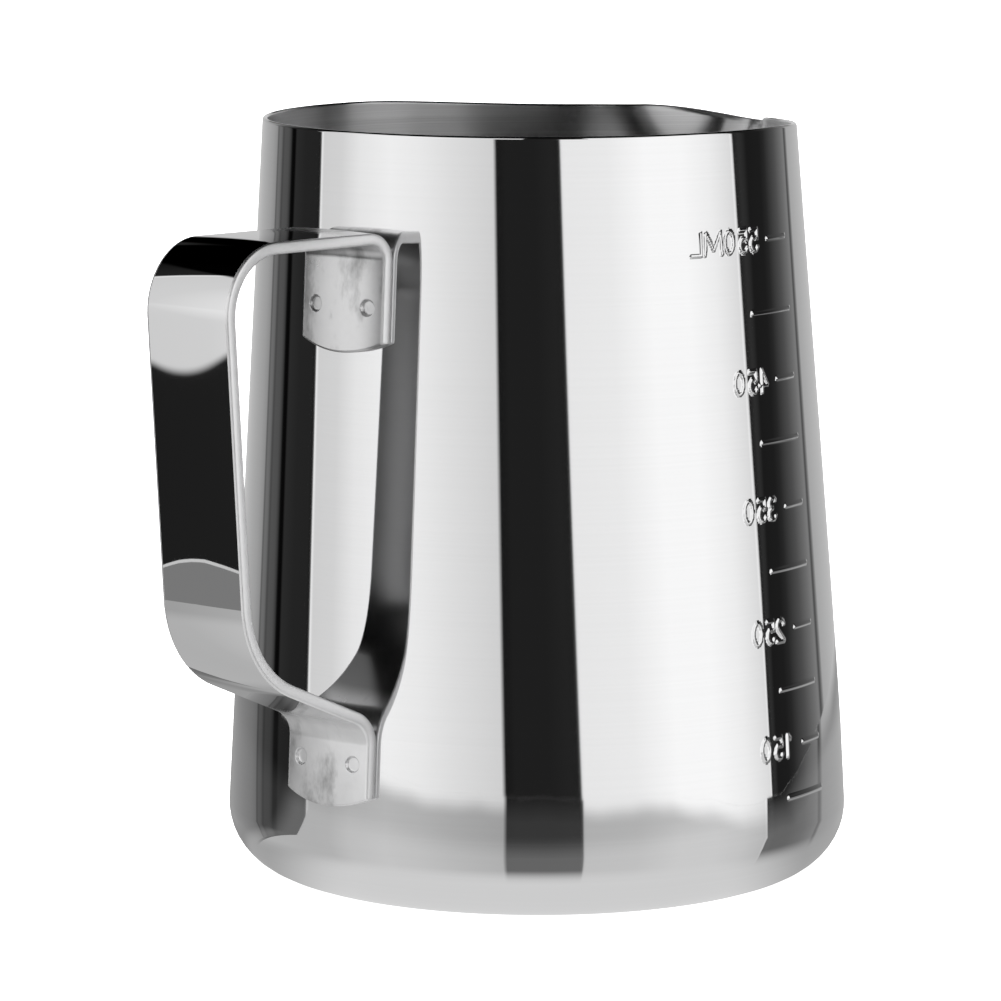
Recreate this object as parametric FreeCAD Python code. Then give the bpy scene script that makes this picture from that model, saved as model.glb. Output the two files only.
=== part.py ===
import FreeCAD, Part
import math
import os

# Milk frothing pitcher: a deep-drawn steel vessel and a bent strap handle spot-welded to it.
# Origin: the centre of the base, on the vessel's axis. +Z is up, the spout points along +X
# and the handle along -X. Lengths are millimetres and angles are degrees from +X.

# Vessel
HEIGHT = 111.2            # base to rim
BASE_RADIUS = 46.3        # wall line carried on down to the base plane
RIM_RADIUS = 40.2
CORNER_RADIUS = 9.6       # outside corner between base and wall
SHEET = 0.8               # sheet thickness

# Spout, pressed out of the rim, and the flats that its pull leaves on both sides of it
SPOUT_REACH = 12.6        # beyond the rim circle, before the lip's fall trims it
SPOUT_WIDTH = 12.5        # angle at which the spout has fallen to 1/e of its reach
SPOUT_LENGTH = 42.0       # how far it runs down the wall
SPOUT_NARROWING = 0.35    # part of its width that is lost at its lower end
FLAT_DEPTH = 2.6
FLAT_ANGLE = 48.0         # each side of the spout
FLAT_WIDTH = 24.0
FLAT_LENGTH = 90.0
FLAT_FADE = 1.2           # power by which a flat fades down the wall
RIM_DIP = 1.0             # the rim sits this much lower on the spout's side
RIM_DIP_FROM = 4.0        # x where the dip starts
RIM_DIP_TO = 33.0         # x where it is complete
LIP_DIP = 2.2             # further fall of the rim along the spout, to the tip of its lip
LIP_DIP_FROM = 33.0
LIP_DIP_TO = 48.0
LIP_DIP_POWER = 1.6
LIP_TURN = 20.0           # its direction, turned from +X towards the scale

# Graduation marks: ribs stamped outwards, one for each level in millilitres
MARK_HEIGHTS = {100: 15.1, 150: 22.7, 200: 30.9, 250: 39.5, 300: 48.2,
                350: 57.1, 400: 66.7, 450: 75.5, 500: 85.2, 550: 95.6}
MARK_ANGLE = 283.0        # end of the marks nearest the spout, at MARK_MID_HEIGHT
MARK_MID_HEIGHT = 48.0
MARK_LEAN = -0.067        # degrees that this end moves for each millimetre of height
LONG_MARK = 9.7
SHORT_MARK = 5.0
MARK_RIB_RADIUS = 0.42
MARK_RELIEF = 0.22        # height of the rib outside and depth of its groove inside

# Handle strap: the corners of its centre line, as distance from the axis and height
STRAP_WIDTH = 15.5
STRAP_THICKNESS = 1.7
STRAP_EDGE = 0.5          # how far the rounded edges stand out from the flat faces
STRAP_CROWN = 0.15        # how far the edges of the grip curl towards the vessel
TOP_RUN_HEIGHT = 96.9
GRIP_TOP = (74.4, 97.3)
GRIP_FOOT = (70.4, 38.5)
LOWER_TAB_CORNER_HEIGHT = 28.1
TOP_TAB_END = 80.2
LOWER_TAB_END = 15.6
TOP_TAB_BEND = 3.4
GRIP_TOP_BEND = 9.2
GRIP_FOOT_BEND = 15.0
LOWER_TAB_BEND = 4.4
TAB_END_RADIUS = 18.0     # rounded lower edge of each tab
TAB_GAP = 0.05            # between tab and wall
BEND_STEP = 12.0          # degrees between the sections of a bend

# Spot welds: a nugget inside the joint and the electrode's dimple in the tab's face
WELD_SPACING = 9.8
TOP_WELD_HEIGHT = 86.8
LOWER_WELD_HEIGHT = 22.1
NUGGET_RADIUS = 1.5
NUGGET_IN_WALL = 0.4
NUGGET_IN_TAB = 0.6
DIMPLE_RADIUS = 1.2
DIMPLE_DEPTH = 0.35

SLOPE = (BASE_RADIUS - RIM_RADIUS) / HEIGHT
TAPER = math.atan(SLOPE)
TOP_MARGIN = 1.5          # the walls are made this much too high, then trimmed to the rim
WALL_LEVELS = [11.5, 13.5, 17.0, 22.0, 32.0, 44.0, 56.0, HEIGHT - SPOUT_LENGTH, 78.0, 86.0, 94.0,
               102.0, 108.0, HEIGHT + TOP_MARGIN]
CORNER_SECTIONS = 7
RIM_POINTS = 24
RIM_SIDE = 46.0           # the rim is trimmed this far to both sides of y = 0
SPOUT_SIDE = 60.0         # sections have closer points within this angle of the spout
SECTION_ANGLES = ([5.0 * i for i in range(12)] + [SPOUT_SIDE + 10.0 * i for i in range(24)]
                  + [360.0 - SPOUT_SIDE + 5.0 * i for i in range(12)])
FAR = 80.0                # larger than the vessel's radius


def vector(x, y, z):
    return FreeCAD.Vector(x, y, z)


def cone_radius(z):
    return BASE_RADIUS - SLOPE * z


def wall_radius(angle, z):
    """Outside radius of the wall, spout and flats included."""
    away = abs((angle + 180.0) % 360.0 - 180.0)
    depth = HEIGHT - z
    pull = max(0.0, 1.0 - depth / SPOUT_LENGTH)
    width = SPOUT_WIDTH * (1.0 - SPOUT_NARROWING * min(1.0, depth / SPOUT_LENGTH))
    spout = SPOUT_REACH * pull ** 2 * math.exp(-(away / width) ** 2)
    fade = max(0.0, 1.0 - depth / FLAT_LENGTH) ** FLAT_FADE
    flat = FLAT_DEPTH * fade * math.exp(-((away - FLAT_ANGLE) / FLAT_WIDTH) ** 2)
    return cone_radius(z) + spout - flat


def wall_point(angle, z, inset=0.0):
    """Point on the outside of the wall, or inset from it, square to the wall in plan."""
    step = 0.2
    around = []
    for turn in (angle - step, angle, angle + step):
        radius = wall_radius(turn, z)
        around.append(vector(radius * math.cos(math.radians(turn)),
                             radius * math.sin(math.radians(turn)), z))
    along = around[2] - around[0]
    outward = vector(along.y, -along.x, 0.0).normalize()
    return around[1] - outward * inset


def section_curve(points):
    """Closed curve whose knots follow SECTION_ANGLES, so that all sections match."""
    knots = [angle / 360.0 for angle in SECTION_ANGLES] + [1.0]
    curve = Part.BSplineCurve()
    curve.interpolate(Points=points, PeriodicFlag=True, Parameters=knots)
    return Part.Wire(curve.toShape())


def corner_section(tilt, inset):
    """Round section on the base's corner, where the surface faces tilt radians above level."""
    middle = BASE_RADIUS - CORNER_RADIUS * (SLOPE + 1.0 / math.cos(TAPER))
    bend = CORNER_RADIUS - inset
    radius = middle + bend * math.cos(tilt)
    z = CORNER_RADIUS + bend * math.sin(tilt)
    return section_curve([vector(radius * math.cos(math.radians(angle)),
                                 radius * math.sin(math.radians(angle)), z)
                          for angle in SECTION_ANGLES])


def vessel_body(inset):
    """Solid inside the vessel's outer surface, or inside the surface inset from it."""
    quarter = TAPER + math.pi / 2
    sections = []
    for i in range(CORNER_SECTIONS + 1):
        tilt = quarter * i / CORNER_SECTIONS - math.pi / 2
        sections.append(corner_section(tilt, inset))
    for z in WALL_LEVELS:
        sections.append(section_curve([wall_point(angle, z, inset)
                                       for angle in SECTION_ANGLES]))
    return Part.makeLoft(sections, True, False)


def smooth_step(x, low, high):
    part = min(1.0, max(0.0, (x - low) / (high - low)))
    return part * part * (3.0 - 2.0 * part)


def rim_height(x, y):
    turn = math.radians(LIP_TURN)
    along_lip = x * math.cos(turn) - y * math.sin(turn)
    lip = max(0.0, (along_lip - LIP_DIP_FROM) / (LIP_DIP_TO - LIP_DIP_FROM))
    dip = RIM_DIP * smooth_step(x, RIM_DIP_FROM, RIM_DIP_TO)
    return HEIGHT - dip - LIP_DIP * lip ** LIP_DIP_POWER


def above_rim():
    """Everything above the rim, which is level except towards the spout."""
    tip = RIM_RADIUS + SPOUT_REACH + TOP_MARGIN
    step = (tip - RIM_DIP_FROM) / RIM_POINTS
    xs = [RIM_DIP_FROM + step * i for i in range(RIM_POINTS + 1)]
    ys = [RIM_SIDE * (2.0 * i / RIM_POINTS - 1.0) for i in range(RIM_POINTS + 1)]
    surface = Part.BSplineSurface()
    surface.interpolate([[vector(x, y, rim_height(x, y)) for y in ys] for x in xs])
    spout_side = surface.toShape().extrude(vector(0, 0, RIM_DIP + 2 * LIP_DIP + TOP_MARGIN))
    level_side = Part.makeBox(FAR + RIM_DIP_FROM, 2 * FAR, FAR, vector(-FAR, -FAR, HEIGHT))
    return [spout_side, level_side]


def mark_bar(level, inset):
    """A round bar along one graduation mark, its centre line inset from the wall's outside."""
    z = MARK_HEIGHTS[level]
    length = LONG_MARK if level % 100 == 0 else SHORT_MARK
    end = MARK_ANGLE + MARK_LEAN * (z - MARK_MID_HEIGHT)
    start = end - math.degrees(length / cone_radius(z))
    points = [wall_point(turn, z, inset) for turn in (start, (start + end) / 2, end)]
    path = Part.Wire(Part.Arc(*points).toShape())
    direction = path.Edges[0].tangentAt(path.Edges[0].FirstParameter)
    ring = Part.Wire(Part.makeCircle(MARK_RIB_RADIUS, points[0], direction))
    bar = path.makePipeShell([ring], True, True)
    for tip in (points[0], points[2]):
        bar = bar.fuse(Part.makeSphere(MARK_RIB_RADIUS, tip))
    return bar


def wall_normal_rod(angle, z, radius, low, high):
    """Cylinder square to the round wall, between two distances outside the wall's surface."""
    turn = math.radians(angle)
    outward = vector(math.cos(turn) * math.cos(TAPER), math.sin(turn) * math.cos(TAPER),
                     math.sin(TAPER))
    foot = vector(cone_radius(z) * math.cos(turn), cone_radius(z) * math.sin(turn), z)
    return Part.makeCylinder(radius, high - low, foot + outward * low, outward)


def weld_angles(z):
    half = math.degrees(math.asin(WELD_SPACING / 2 / cone_radius(z)))
    return (180.0 - half, 180.0 + half)


def weld_nuggets(z):
    return [wall_normal_rod(angle, z, NUGGET_RADIUS, -NUGGET_IN_WALL, TAB_GAP + NUGGET_IN_TAB)
            for angle in weld_angles(z)]


def weld_dimples(z):
    face = TAB_GAP + STRAP_THICKNESS
    return [wall_normal_rod(angle, z, DIMPLE_RADIUS, face - DIMPLE_DEPTH, face + 1.0)
            for angle in weld_angles(z)]


def make_vessel(nuggets):
    vessel = vessel_body(0.0).cut(vessel_body(SHEET)).cut(above_rim())
    ribs = [mark_bar(level, MARK_RIB_RADIUS - MARK_RELIEF) for level in MARK_HEIGHTS]
    grooves = [mark_bar(level, SHEET + MARK_RIB_RADIUS - MARK_RELIEF) for level in MARK_HEIGHTS]
    vessel = vessel.fuse(ribs).cut(grooves)
    return vessel.cut(nuggets)


def strap_corners():
    """Corners of the strap's centre line with their bend radii, from one tab's end to the other."""
    def tab_point(z):
        return (cone_radius(z) + TAB_GAP + STRAP_THICKNESS / 2 / math.cos(TAPER), z)
    return [(tab_point(TOP_TAB_END), 0.0),
            (tab_point(TOP_RUN_HEIGHT), TOP_TAB_BEND),
            (GRIP_TOP, GRIP_TOP_BEND),
            (GRIP_FOOT, GRIP_FOOT_BEND),
            (tab_point(LOWER_TAB_CORNER_HEIGHT), LOWER_TAB_BEND),
            (tab_point(LOWER_TAB_END), 0.0)]


def strap_section(place, heading, wrap):
    """Closed section of the strip at a place on its centre line.

    place is (reach, height), heading is the direction of travel as an angle, and wrap is how
    far the edges lie to the left of the middle.
    """
    half = STRAP_WIDTH / 2 - STRAP_EDGE
    left = (-math.sin(heading), math.cos(heading))

    def at(side, offset):
        reach = place[0] + left[0] * offset
        height = place[1] + left[1] * offset
        return vector(-reach, side, height)

    def curve(poles):
        bow = Part.BezierCurve()
        bow.setPoles(poles)
        return bow.toShape()

    skin = STRAP_THICKNESS / 2
    bulge = STRAP_EDGE * 4.0 / 3.0
    return Part.Wire([
        curve([at(-half, wrap + skin), at(0, skin - wrap), at(half, wrap + skin)]),
        curve([at(half, wrap + skin), at(half + bulge, wrap + skin),
               at(half + bulge, wrap - skin), at(half, wrap - skin)]),
        curve([at(half, wrap - skin), at(0, -skin - wrap), at(-half, wrap - skin)]),
        curve([at(-half, wrap - skin), at(-half - bulge, wrap - skin),
               at(-half - bulge, wrap + skin), at(-half, wrap + skin)])])


def strap_stretches():
    """Straight runs and bends of the centre line, each a list of (place, heading)."""
    corners = strap_corners()
    headings = []
    for (low, _), (high, _) in zip(corners, corners[1:]):
        headings.append(math.atan2(high[1] - low[1], high[0] - low[0]))
    stretches = []
    begin = corners[0][0]
    for i in range(1, len(corners) - 1):
        corner, radius = corners[i]
        before = headings[i - 1]
        turn = (headings[i] - before + math.pi) % (2 * math.pi) - math.pi
        tangent = radius * math.tan(abs(turn) / 2)
        entry = (corner[0] - tangent * math.cos(before), corner[1] - tangent * math.sin(before))
        side = math.copysign(1.0, turn)
        centre = (entry[0] - side * radius * math.sin(before),
                  entry[1] + side * radius * math.cos(before))
        stretches.append([(begin, before), (entry, before)])
        count = max(3, int(math.ceil(math.degrees(abs(turn)) / BEND_STEP)))
        bend = []
        for j in range(count + 1):
            heading = before + turn * j / count
            bend.append(((centre[0] + side * radius * math.sin(heading),
                          centre[1] - side * radius * math.cos(heading)), heading))
        stretches.append(bend)
        begin = bend[-1][0]
    stretches.append([(begin, headings[-1]), (corners[-1][0], headings[-1])])
    return stretches


def tab_end_trim(z):
    """Upright plate with a round lower edge, which a tab is cut down to."""
    centre = vector(-FAR, 0, z + TAB_END_RADIUS)
    return Part.makeCylinder(TAB_END_RADIUS, FAR, centre, vector(1, 0, 0))


def tab_wrap(z):
    """How far the wall falls away from the middle of a tab to the ends of its flat faces."""
    radius = cone_radius(z)
    return radius - math.sqrt(radius ** 2 - (STRAP_WIDTH / 2 - STRAP_EDGE) ** 2)


def make_strap(nuggets, dimples):
    stretches = strap_stretches()
    top_wrap = tab_wrap(TOP_TAB_END)
    lower_wrap = -tab_wrap(LOWER_TAB_END)
    wraps = [top_wrap, top_wrap] + [-STRAP_CROWN] * (len(stretches) - 3) + [lower_wrap, lower_wrap]
    pieces = []
    for stretch, wrap, next_wrap in zip(stretches, wraps, wraps[1:]):
        sections = []
        for i, (place, heading) in enumerate(stretch):
            blend = smooth_step(i, 0.0, len(stretch) - 1.0)
            sections.append(strap_section(place, heading, wrap + (next_wrap - wrap) * blend))
        pieces.append(Part.makeLoft(sections, True, len(sections) == 2))
    pieces[0] = pieces[0].common(tab_end_trim(TOP_TAB_END))
    pieces[-1] = pieces[-1].common(tab_end_trim(LOWER_TAB_END))
    strap = pieces[0].fuse(pieces[1:]).removeSplitter()
    return strap.cut(nuggets + dimples)


def save(shape, node):
    for solid in shape.Solids:
        if not solid.isValid():
            raise ValueError("bad solid in " + node)
    box = shape.BoundBox
    print("%-18s solids %d volume %9.1f x %.2f..%.2f y %.2f..%.2f z %.2f..%.2f" % (
        node, len(shape.Solids), shape.Volume, box.XMin, box.XMax, box.YMin, box.YMax,
        box.ZMin, box.ZMax))
    shape.exportStep("parts/" + node + ".step")


def main():
    os.makedirs("parts", exist_ok=True)
    top = weld_nuggets(TOP_WELD_HEIGHT)
    lower = weld_nuggets(LOWER_WELD_HEIGHT)
    dimples = weld_dimples(TOP_WELD_HEIGHT) + weld_dimples(LOWER_WELD_HEIGHT)
    save(make_vessel(top + lower), "vessel")
    save(make_strap(top + lower, dimples), "handle_strap")
    save(Part.makeCompound(top), "top_spot_welds")
    save(Part.makeCompound(lower), "lower_spot_welds")


main()
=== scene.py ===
import math

import bpy
import numpy as np
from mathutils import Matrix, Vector


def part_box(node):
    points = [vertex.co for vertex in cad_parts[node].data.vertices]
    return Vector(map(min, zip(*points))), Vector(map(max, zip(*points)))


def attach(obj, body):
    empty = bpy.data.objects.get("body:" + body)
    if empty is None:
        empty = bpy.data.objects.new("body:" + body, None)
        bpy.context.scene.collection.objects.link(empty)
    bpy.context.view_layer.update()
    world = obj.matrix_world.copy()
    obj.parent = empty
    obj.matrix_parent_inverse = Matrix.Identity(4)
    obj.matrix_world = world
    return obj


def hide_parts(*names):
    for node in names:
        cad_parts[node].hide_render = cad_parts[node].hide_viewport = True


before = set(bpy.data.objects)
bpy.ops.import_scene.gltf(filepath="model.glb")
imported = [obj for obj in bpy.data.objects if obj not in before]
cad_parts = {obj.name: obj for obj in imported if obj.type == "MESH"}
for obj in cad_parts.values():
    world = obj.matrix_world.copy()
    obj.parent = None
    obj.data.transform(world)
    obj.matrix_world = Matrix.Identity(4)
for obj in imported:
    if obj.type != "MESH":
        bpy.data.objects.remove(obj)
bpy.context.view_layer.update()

# Milk frothing pitcher: a polished steel vessel with a stamped scale, and its strap handle.
# The row frame is used throughout: +Z up, the spout along +X and the handle along -X. Shapes are
# worked out in millimetres and angles in degrees from +X, and meshes are made in metres. The
# studio is in metres.
MM = 0.001
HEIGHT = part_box("vessel")[1].z / MM

# Vessel, as in the CAD model
BASE_RADIUS = 46.3
RIM_RADIUS = 40.2
CORNER_RADIUS = 9.6
SHEET = 0.8
SPOUT_REACH = 12.6
SPOUT_WIDTH = 12.5
SPOUT_LENGTH = 42.0
SPOUT_NARROWING = 0.35
FLAT_DEPTH = 2.6
FLAT_ANGLE = 48.0
FLAT_WIDTH = 24.0
FLAT_LENGTH = 90.0
FLAT_FADE = 1.2
RIM_DIP = 1.0
RIM_DIP_FROM = 4.0
RIM_DIP_TO = 33.0
LIP_DIP = 2.2
LIP_DIP_FROM = 33.0
LIP_DIP_TO = 48.0
LIP_DIP_POWER = 1.6
LIP_TURN = 20.0
SLOPE = (BASE_RADIUS - RIM_RADIUS) / HEIGHT
TAPER = math.atan(SLOPE)
CORNER_CENTRE = BASE_RADIUS - CORNER_RADIUS * (SLOPE + 1.0 / math.cos(TAPER))
BASE_HUB = 15.0           # inside this radius the flat base is one face

# Stamped scale, read from inside the vessel, so its numbers are mirrored on the outside
MARK_HEIGHTS = {100: 15.1, 150: 22.7, 200: 30.9, 250: 39.5, 300: 48.2,
                350: 57.1, 400: 66.7, 450: 75.5, 500: 85.2, 550: 95.6}
MARK_ANGLE = 283.0
MARK_MID_HEIGHT = 48.0
MARK_LEAN = -0.067
LONG_MARK = 9.7
SHORT_MARK = 5.0
LABELS = {150: "150", 250: "250", 350: "350", 450: "450", 550: "550ML"}
LABEL_ANGLE = 271.7       # middle of the first digit of each label, at MARK_MID_HEIGHT
LABEL_HEIGHT = 3.1
DIGIT_STEP = 2.3          # from the middle of one digit to the next
WIDE_STEP = 2.95          # where either of the two is a round or a wide one
STROKE_HALF_WIDTH = 0.40
MARK_HALF_WIDTH = 0.46
STAMP_RELIEF = 0.2

# Handle strap, as in the CAD model but for the welds' dimples, which are wider and deeper here
STRAP_WIDTH = 15.5
STRAP_THICKNESS = 1.7
STRAP_EDGE = 0.5
STRAP_CROWN = 0.15
TOP_RUN_HEIGHT = 96.9
GRIP_TOP = (74.4, 97.3)
GRIP_FOOT = (70.4, 38.5)
LOWER_TAB_CORNER_HEIGHT = 28.1
TOP_TAB_END = 80.2
LOWER_TAB_END = 15.6
TOP_TAB_BEND = 3.4
GRIP_TOP_BEND = 9.2
GRIP_FOOT_BEND = 15.0
LOWER_TAB_BEND = 4.4
TAB_END_RADIUS = 18.0
TAB_GAP = 0.05
TAB_EDGE_ROUNDING = 0.35
GRIP_DISH = (0.025, 0.05)  # the grip is a little hollow across, next to its bends
GRIP_DISH_LENGTH = 8.0
WELD_SPACING = 9.8
TOP_WELD_HEIGHT = 86.8
LOWER_WELD_HEIGHT = 22.1
DIMPLE_RADIUS = 1.25
DIMPLE_DEPTH = 0.5
DIMPLE_WALL = 0.32

# Meshes: coarse cells, and how finely a cell is divided where there is relief
FINE = 6
FINE_MARGIN = 1.1         # half the diagonal of a coarse cell of the vessel, and a little more
SPOUT_FINE_SIDE = 34.0    # the spout's cells are halved this far to each side
SCALE_ANGLES = (245.0, 295.0)   # a field of the wall that holds the whole scale
SCALE_HEIGHTS = (11.0, 101.0)
RELIEF_REACH = 20.0       # the relief is worked out this far either way from the scale's middle
RELIEF_HEIGHTS = (12.0, 100.0)
DIMPLE_MARGIN = 0.8
VESSEL_COLUMNS = 240
VESSEL_ROWS = {"base": 5, "corner": 12, "wall": 72, "rim": 6, "inner wall": 72,
               "inner corner": 10, "inner base": 5}


def half_turn(angle):
    """The same direction, between -180 and 180."""
    return (angle + 180.0) % 360.0 - 180.0


# ---------------------------------------------------------------- grids

def place_in(counts, row):
    """Which stretch of a list of row counts each row falls in, and how far along it, 0 to 1."""
    ends = np.cumsum(counts)
    index = np.clip(np.searchsorted(ends, row, side="right"), 0, len(counts) - 1)
    starts = (ends - counts)[index]
    return index, (row - starts) / np.asarray(counts)[index]


def grid_mesh(name, columns, rows, parts_of, point, cap):
    """Mesh over a grid of cells that closes round, with smooth normals worked out exactly.

    parts_of(columns, rows) says into how many parts each way the cells at those places are
    divided, a divisor of FINE. point(columns, rows) gives positions in millimetres. cap(ring)
    gives the faces that close a ring of corners at the first and the last row.
    """
    width = columns * FINE
    column, row = np.meshgrid(np.arange(columns), np.arange(rows))
    column, row = column.ravel(), row.ravel()
    sizes = FINE // parts_of(column + 0.5, row + 0.5)
    leaves = []
    for left, low, size in zip((column * FINE).tolist(), (row * FINE).tolist(), sizes.tolist()):
        for up in range(low, low + FINE, size):
            for along in range(left, left + FINE, size):
                leaves.append((along, up, size))
    index = {}
    for along, up, size in leaves:
        for c, r in ((along, up), (along + size, up), (along + size, up + size), (along, up + size)):
            index.setdefault(r * width + c % width, len(index))
    faces = []
    for along, up, size in leaves:
        walk = ([(along + i, up) for i in range(size)]
                + [(along + size, up + i) for i in range(size)]
                + [(along + size - i, up + size) for i in range(size)]
                + [(along, up + size - i) for i in range(size)])
        keys = [r * width + c % width for c, r in walk]
        faces.append([index[key] for key in keys if key in index])
    top = rows * FINE * width
    first = [index[c * FINE] for c in range(columns)]
    last = [index[top + c * FINE] for c in range(columns)]
    faces += [list(reversed(face)) for face in cap(first)] + cap(last)
    keys = np.array(list(index))
    c, r = (keys % width) / FINE, (keys // width) / FINE
    step = 0.02
    low_row, high_row = np.maximum(r - step, 0.0), np.minimum(r + step, rows)
    across = point(c + step, r) - point(c - step, r)
    along = point(c, high_row) - point(c, low_row)
    normals = np.cross(across, along)
    normals /= np.linalg.norm(normals, axis=1)[:, None]
    mesh = bpy.data.meshes.new(name)
    mesh.from_pydata((point(c, r) * MM).tolist(), [], faces)
    mesh.polygons.foreach_set("use_smooth", [True] * len(faces))
    mesh.normals_split_custom_set_from_vertices(normals.tolist())
    piece = bpy.data.objects.new(name, mesh)
    bpy.context.scene.collection.objects.link(piece)
    return piece, [(along / FINE, up / FINE) for along, up, _ in leaves]


# ---------------------------------------------------------------- vessel

def cone_radius(z):
    return BASE_RADIUS - SLOPE * z


def wall_radius(angle, z):
    """Outside radius of the wall, spout and flats included."""
    away = np.abs(half_turn(angle))
    depth = HEIGHT - z
    pull = np.maximum(0.0, 1.0 - depth / SPOUT_LENGTH)
    width = SPOUT_WIDTH * (1.0 - SPOUT_NARROWING * np.minimum(1.0, depth / SPOUT_LENGTH))
    spout = SPOUT_REACH * pull ** 2 * np.exp(-(away / width) ** 2)
    fade = np.maximum(0.0, 1.0 - depth / FLAT_LENGTH) ** FLAT_FADE
    flat = FLAT_DEPTH * fade * np.exp(-((away - FLAT_ANGLE) / FLAT_WIDTH) ** 2)
    return cone_radius(z) + spout - flat


def outline(angle, z, inset):
    """Position on the wall's outside, or inset from it, square to the wall in plan."""
    step = 0.1
    turn = np.radians(angle)
    radius = wall_radius(angle, z)
    change = (wall_radius(angle + step, z) - wall_radius(angle - step, z)) / math.radians(2 * step)
    along_x = change * np.cos(turn) - radius * np.sin(turn)
    along_y = change * np.sin(turn) + radius * np.cos(turn)
    length = np.hypot(along_x, along_y)
    return np.stack([radius * np.cos(turn) - inset * along_y / length,
                     radius * np.sin(turn) + inset * along_x / length,
                     z * np.ones_like(turn)], axis=1)


def smooth_step(x, low, high):
    part = np.clip((x - low) / (high - low), 0.0, 1.0)
    return part * part * (3.0 - 2.0 * part)


def rim_height(angle):
    """Height of the rim, which is level except towards the spout."""
    z = HEIGHT * np.ones_like(angle)
    for _ in range(5):
        radius = wall_radius(angle, z)
        x = radius * np.cos(np.radians(angle))
        along_lip = radius * np.cos(np.radians(angle + LIP_TURN))
        lip = np.maximum(0.0, (along_lip - LIP_DIP_FROM) / (LIP_DIP_TO - LIP_DIP_FROM))
        z = (HEIGHT - RIM_DIP * smooth_step(x, RIM_DIP_FROM, RIM_DIP_TO)
             - LIP_DIP * lip ** LIP_DIP_POWER)
    return z


def arc(x, y, wide, high, start, end, count=9):
    """Points on an ellipse's arc between two angles."""
    turns = np.radians(np.linspace(start, end, count))
    return [(x + wide * math.cos(turn), y + high * math.sin(turn)) for turn in turns]


# Strokes of each character in a box one high, centred on (0, 0)
GLYPHS = {
    "0": [arc(0, 0, 0.27, 0.5, 0, 360, 17)],
    "1": [[(0.05, -0.5), (0.05, 0.5), (-0.16, 0.3)]],
    "2": [arc(0, 0.22, 0.27, 0.28, 170, -35) + [(-0.27, -0.5), (0.28, -0.5)]],
    "3": [arc(-0.03, 0.25, 0.26, 0.25, 150, -90) + arc(-0.03, -0.24, 0.29, 0.26, 90, -150)],
    "4": [[(0.12, -0.5), (0.12, 0.5), (-0.28, -0.2), (0.3, -0.2)]],
    "5": [[(0.25, 0.5), (-0.18, 0.5), (-0.22, 0.06)] + arc(-0.01, -0.18, 0.27, 0.32, 130, -150)],
    "M": [[(-0.5, -0.5), (-0.42, 0.5), (0.0, -0.3), (0.42, 0.5), (0.5, -0.5)]],
    "L": [[(-0.24, 0.5), (-0.24, -0.5), (0.3, -0.5)]],
}
WIDE_GLYPHS = "0ML"


def scale_x(angle, z):
    """Distance round the wall from the start angle of the labels, towards the spout."""
    return np.radians(angle - LABEL_ANGLE) * cone_radius(z)


def scale_strokes():
    """The scale's strokes as rows of (x, z, x, z, half width), x as in scale_x."""
    strokes = []
    for level, z in MARK_HEIGHTS.items():
        lean = MARK_LEAN * (z - MARK_MID_HEIGHT)
        end = scale_x(MARK_ANGLE + lean, z)
        length = LONG_MARK if level % 100 == 0 else SHORT_MARK
        strokes.append((end - length, z, end, z, MARK_HALF_WIDTH))
        x = scale_x(LABEL_ANGLE + lean, z)
        before = ""
        for character in LABELS.get(level, ""):
            if before:
                wide = character in WIDE_GLYPHS or before in WIDE_GLYPHS
                x -= WIDE_STEP if wide else DIGIT_STEP
            for line in GLYPHS[character]:
                points = [(x - LABEL_HEIGHT * u, z + LABEL_HEIGHT * v) for u, v in line]
                strokes += [a + b + (STROKE_HALF_WIDTH,) for a, b in zip(points, points[1:])]
            before = character
    return np.array(strokes)


STROKES = scale_strokes()


def in_scale(angle, z):
    return ((angle > SCALE_ANGLES[0]) & (angle < SCALE_ANGLES[1])
            & (z > SCALE_HEIGHTS[0]) & (z < SCALE_HEIGHTS[1]))


def stroke_nearness(angle, z):
    """How near each place is to a stroke: 0 on its centre line and 1 at its edge."""
    x = scale_x(angle, z)[:, None]
    height = z[:, None]
    start_x, start_z, end_x, end_z, half = STROKES.T
    run_x, run_z = end_x - start_x, end_z - start_z
    along = ((x - start_x) * run_x + (height - start_z) * run_z) / (run_x ** 2 + run_z ** 2)
    along = np.clip(along, 0.0, 1.0)
    away = np.hypot(x - start_x - along * run_x, height - start_z - along * run_z)
    return (away / half).min(axis=1)


def stamp(angle, z):
    """Height of the scale's relief above the plain wall."""
    relief = np.zeros_like(angle)
    x = scale_x(angle, z)
    near = ((np.abs(x - STROKES[:, 0:4:2].mean()) < RELIEF_REACH)
            & (z > RELIEF_HEIGHTS[0]) & (z < RELIEF_HEIGHTS[1]))
    away = np.minimum(1.0, stroke_nearness(angle[near], z[near]))
    relief[near] = STAMP_RELIEF * (1.0 - away ** 2) ** 2
    return relief


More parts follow.
